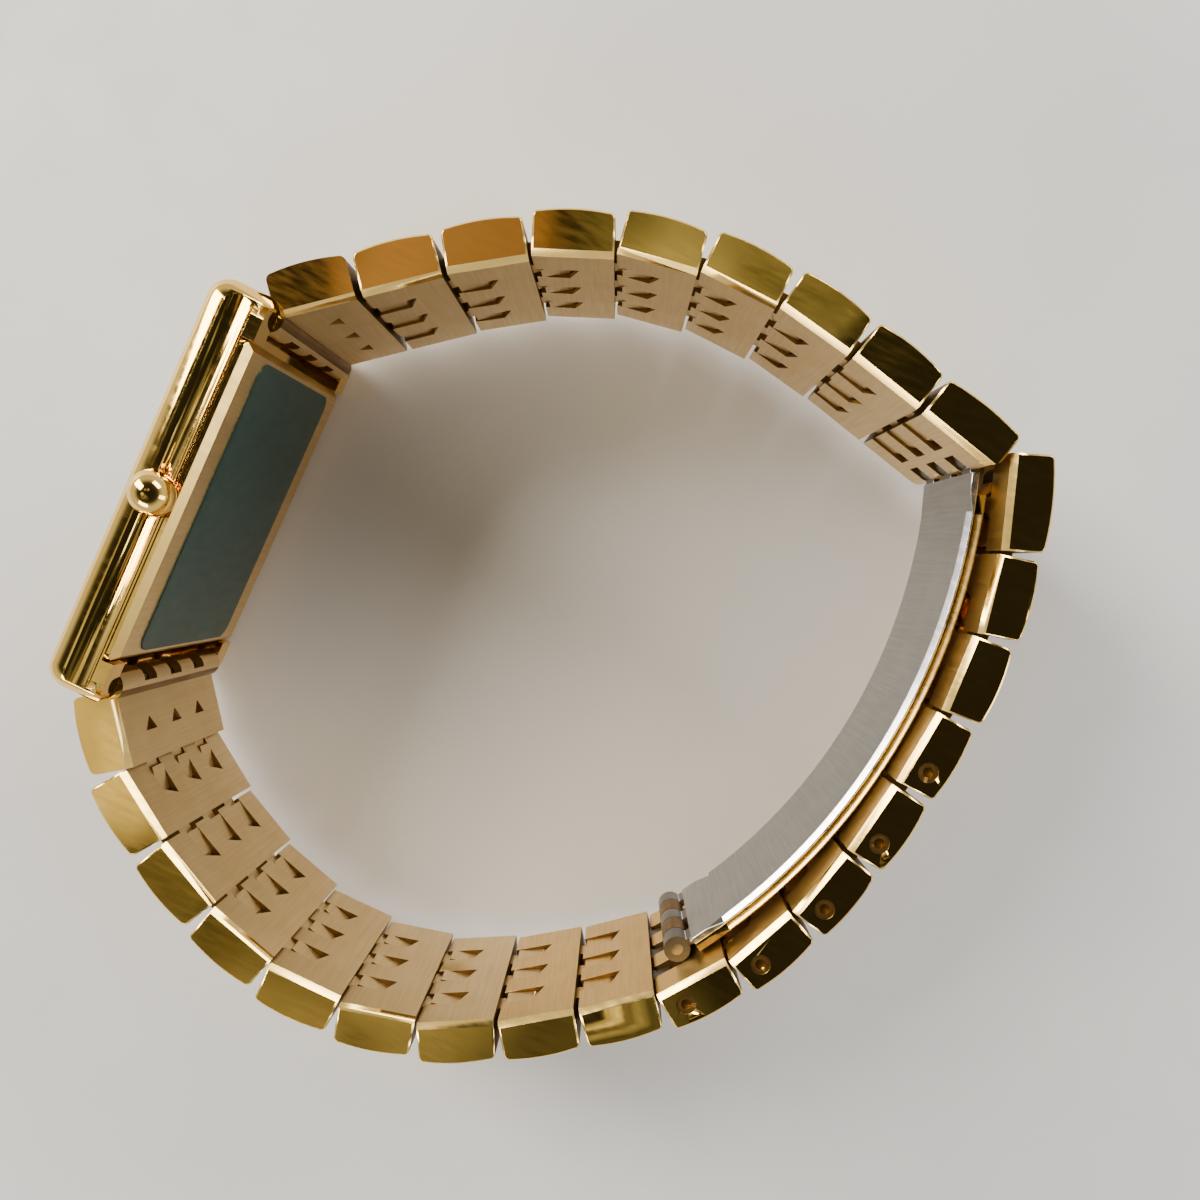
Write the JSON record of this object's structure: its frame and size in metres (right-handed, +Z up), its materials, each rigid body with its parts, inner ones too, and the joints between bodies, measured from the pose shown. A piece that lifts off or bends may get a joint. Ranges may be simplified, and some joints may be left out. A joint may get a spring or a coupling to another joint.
{
  "type": "bracelet wristwatch",
  "caption": "Slim rectangular dress watch on a solid-link bracelet with a hidden folding clasp, closed and lying on its side.",
  "frame": {"origin": "middle of the case's flat 9 o'clock side, which the watch lies on", "axes": "+Z up, towards 3 o'clock and the crown; +Y towards 12 o'clock; the dial looks along -X and the bracelet closes round +X"},
  "size_m": [0.0576, 0.0603, 0.0264],
  "materials": {
    "polished_gold": "polished gold plating",
    "satin_gold": "satin gold plating",
    "steel": "fine brushed steel",
    "cell_steel": "nickel plated",
    "crystal": "clear",
    "dial_face": "matt champagne",
    "movement_brass": "matt",
    "holder_plastic": "moulded",
    "board": "solder mask",
    "seal": "smooth",
    "film": "glossy tinted film"
  },
  "bodies": {
    "case": {"middle_case": "polished_gold", "bezel": "polished_gold", "crystal": "crystal", "crystal_gasket": "seal", "dial": "dial_face", "hour_markers": "polished_gold", "hand_post": "steel", "movement_plate": "movement_brass", "movement_holder": "holder_plastic", "battery": "cell_steel", "battery_strap": "steel", "circuit_board": "board", "case_back": "satin_gold", "back_gasket": "seal", "back_film": "film", "crown_tube": "steel", "spring_bar_twelve": "steel", "spring_bar_six": "steel"},
    "stem": {"stem": "steel"},
    "crown": {"crown": "polished_gold"},
    "minute_hand": {"minute_hand": "polished_gold"},
    "hour_hand": {"hour_hand": "polished_gold"},
    "link_12_1": {"link_12_1": "polished_gold"},
    "link_12_2": {"link_12_2": "polished_gold"},
    "link_12_3": {"link_12_3": "polished_gold"},
    "link_12_4": {"link_12_4": "polished_gold"},
    "link_12_5": {"link_12_5": "polished_gold"},
    "link_12_6": {"link_12_6": "polished_gold"},
    "link_12_7": {"link_12_7": "polished_gold"},
    "link_12_8": {"link_12_8": "polished_gold"},
    "link_12_9": {"link_12_9": "polished_gold", "pin_a": "steel"},
    "link_6_1": {"link_6_1": "polished_gold"},
    "link_6_2": {"link_6_2": "polished_gold"},
    "link_6_3": {"link_6_3": "polished_gold"},
    "link_6_4": {"link_6_4": "polished_gold"},
    "link_6_5": {"link_6_5": "polished_gold"},
    "link_6_6": {"link_6_6": "polished_gold"},
    "link_6_7": {"link_6_7": "polished_gold"},
    "link_6_8": {"link_6_8": "polished_gold"},
    "link_6_9": {"link_6_9": "polished_gold", "joining_tongues": "steel"},
    "steel_blade": {"steel_blade": "steel", "pin_b": "steel", "catch_stud": "steel"},
    "gold_blade": {"gold_blade": "satin_gold"},
    "cover_1": {"cover_1": "polished_gold", "pin_c": "satin_gold"},
    "cover_2": {"cover_2": "polished_gold"},
    "cover_3": {"cover_3": "polished_gold"},
    "cover_4": {"cover_4": "polished_gold"},
    "cover_5": {"cover_5": "polished_gold"},
    "cover_6": {"cover_6": "polished_gold"},
    "cover_7": {"cover_7": "polished_gold"},
    "cover_8": {"cover_8": "polished_gold"}
  },
  "joints": [
    {"name": "stem_pull", "type": "slide", "parent": "case", "child": "stem", "axis": [0, 0, 1], "range_m": [0, 0.001]},
    {"name": "crown_turn", "type": "hinge", "parent": "stem", "child": "crown", "pos_m": [0.00035, 0, 0.024], "axis": [0, 0, 1], "continuous": true},
    {"name": "minute_hand_turn", "type": "hinge", "parent": "case", "child": "minute_hand", "pos_m": [0, 0, 0.012], "axis": [1, 0, 0], "continuous": true},
    {"name": "hour_hand_turn", "type": "hinge", "parent": "case", "child": "hour_hand", "pos_m": [0, 0, 0.012], "axis": [1, 0, 0], "continuous": true},
    {"name": "link_12_1_swing", "type": "hinge", "parent": "case", "child": "link_12_1", "pos_m": [0.00155, 0.01335, 0.012], "axis": [0, 0, 1], "range_deg": [0, 28]},
    {"name": "link_12_2_bend", "type": "hinge", "parent": "link_12_1", "child": "link_12_2", "pos_m": [0.00675, 0.01923, 0.012], "axis": [0, 0, 1], "range_deg": [0, 3.4]},
    {"name": "link_12_3_bend", "type": "hinge", "parent": "link_12_2", "child": "link_12_3", "pos_m": [0.01126, 0.02288, 0.012], "axis": [0, 0, 1], "range_deg": [0, 7.7]},
    {"name": "link_12_4_bend", "type": "hinge", "parent": "link_12_3", "child": "link_12_4", "pos_m": [0.01605, 0.02615, 0.012], "axis": [0, 0, 1], "range_deg": [0, 14.2]},
    {"name": "link_12_5_bend", "type": "hinge", "parent": "link_12_4", "child": "link_12_5", "pos_m": [0.02138, 0.02843, 0.012], "axis": [0, 0, 1], "range_deg": [0, 15.6]},
    {"name": "link_12_6_bend", "type": "hinge", "parent": "link_12_5", "child": "link_12_6", "pos_m": [0.02709, 0.02948, 0.012], "axis": [0, 0, 1], "range_deg": [0, 14.2]},
    {"name": "link_12_7_bend", "type": "hinge", "parent": "link_12_6", "child": "link_12_7", "pos_m": [0.03288, 0.02941, 0.012], "axis": [0, 0, 1], "range_deg": [0, 11.3]},
    {"name": "link_12_8_bend", "type": "hinge", "parent": "link_12_7", "child": "link_12_8", "pos_m": [0.03861, 0.02851, 0.012], "axis": [0, 0, 1], "range_deg": [0, 6.1]},
    {"name": "link_12_9_bend", "type": "hinge", "parent": "link_12_8", "child": "link_12_9", "pos_m": [0.04428, 0.02729, 0.012], "axis": [0, 0, 1], "range_deg": [0, 3]},
    {"name": "link_6_1_swing", "type": "hinge", "parent": "case", "child": "link_6_1", "pos_m": [0.00155, -0.01335, 0.012], "axis": [0, 0, -1], "range_deg": [0, 15]},
    {"name": "link_6_2_bend", "type": "hinge", "parent": "link_6_1", "child": "link_6_2", "pos_m": [0.00519, -0.0203, 0.012], "axis": [0, 0, -1], "range_deg": [0, 21.8]},
    {"name": "link_6_3_bend", "type": "hinge", "parent": "link_6_2", "child": "link_6_3", "pos_m": [0.00997, -0.02359, 0.012], "axis": [0, 0, -1], "range_deg": [0, 11.1]},
    {"name": "link_6_4_bend", "type": "hinge", "parent": "link_6_3", "child": "link_6_4", "pos_m": [0.01516, -0.02617, 0.012], "axis": [0, 0, -1], "range_deg": [0, 13.5]},
    {"name": "link_6_5_bend", "type": "hinge", "parent": "link_6_4", "child": "link_6_5", "pos_m": [0.02074, -0.02775, 0.012], "axis": [0, 0, -1], "range_deg": [0, 18.9]},
    {"name": "link_6_6_bend", "type": "hinge", "parent": "link_6_5", "child": "link_6_6", "pos_m": [0.02654, -0.02775, 0.012], "axis": [0, 0, -1], "range_deg": [0, 17.6]},
    {"name": "link_6_7_bend", "type": "hinge", "parent": "link_6_6", "child": "link_6_7", "pos_m": [0.03216, -0.02629, 0.012], "axis": [0, 0, -1], "range_deg": [0, 17.5]},
    {"name": "link_6_8_bend", "type": "hinge", "parent": "link_6_7", "child": "link_6_8", "pos_m": [0.03722, -0.02347, 0.012], "axis": [0, 0, -1], "range_deg": [0, 10.5]},
    {"name": "link_6_9_bend", "type": "hinge", "parent": "link_6_8", "child": "link_6_9", "pos_m": [0.04188, -0.02001, 0.012], "axis": [0, 0, -1], "range_deg": [0, 7.3]},
    {"name": "steel_blade_swing", "type": "hinge", "parent": "link_12_9", "child": "steel_blade", "pos_m": [0.04757, 0.02618, 0.012], "axis": [0, 0, 1], "range_deg": [0, 45]},
    {"name": "clasp_fold", "type": "hinge", "parent": "steel_blade", "child": "gold_blade", "pos_m": [0.04468, -0.01402, 0.012], "axis": [0, 0, -1], "range_deg": [0, 150]},
    {"name": "cover_1_turn", "type": "hinge", "parent": "gold_blade", "child": "cover_1", "pos_m": [0.0501, 0.02562, 0.012], "axis": [0, 0, 1], "range_deg": [0, 150]},
    {"name": "cover_2_bend", "type": "hinge", "parent": "cover_1", "child": "cover_2", "pos_m": [0.05209, 0.02255, 0.012], "axis": [0, 0, 1], "range_deg": [0, 11]},
    {"name": "cover_3_bend", "type": "hinge", "parent": "cover_2", "child": "cover_3", "pos_m": [0.0535, 0.01692, 0.012], "axis": [0, 0, 1], "range_deg": [0, 12]},
    {"name": "cover_4_bend", "type": "hinge", "parent": "cover_3", "child": "cover_4", "pos_m": [0.05401, 0.01114, 0.012], "axis": [0, 0, 1], "range_deg": [0, 11]},
    {"name": "cover_5_bend", "type": "hinge", "parent": "cover_4", "child": "cover_5", "pos_m": [0.0537, 0.00535, 0.012], "axis": [0, 0, 1], "range_deg": [0, 7.1]},
    {"name": "cover_6_bend", "type": "hinge", "parent": "cover_5", "child": "cover_6", "pos_m": [0.05299, -0.0004, 0.012], "axis": [0, 0, 1], "range_deg": [0, 8.3]},
    {"name": "cover_7_bend", "type": "hinge", "parent": "cover_6", "child": "cover_7", "pos_m": [0.05174, -0.00607, 0.012], "axis": [0, 0, 1], "range_deg": [0, 12.6]},
    {"name": "cover_8_bend", "type": "hinge", "parent": "cover_7", "child": "cover_8", "pos_m": [0.04957, -0.01145, 0.012], "axis": [0, 0, 1], "range_deg": [0, 15.8]}
  ],
  "couplings": [
    {"joint": "hour_hand_turn", "follows": "minute_hand_turn", "ratio": 0.083333},
    {"joint": "steel_blade_swing", "follows": "clasp_fold", "ratio": 0.3},
    {"joint": "cover_1_turn", "follows": "clasp_fold", "ratio": 1}
  ]
}
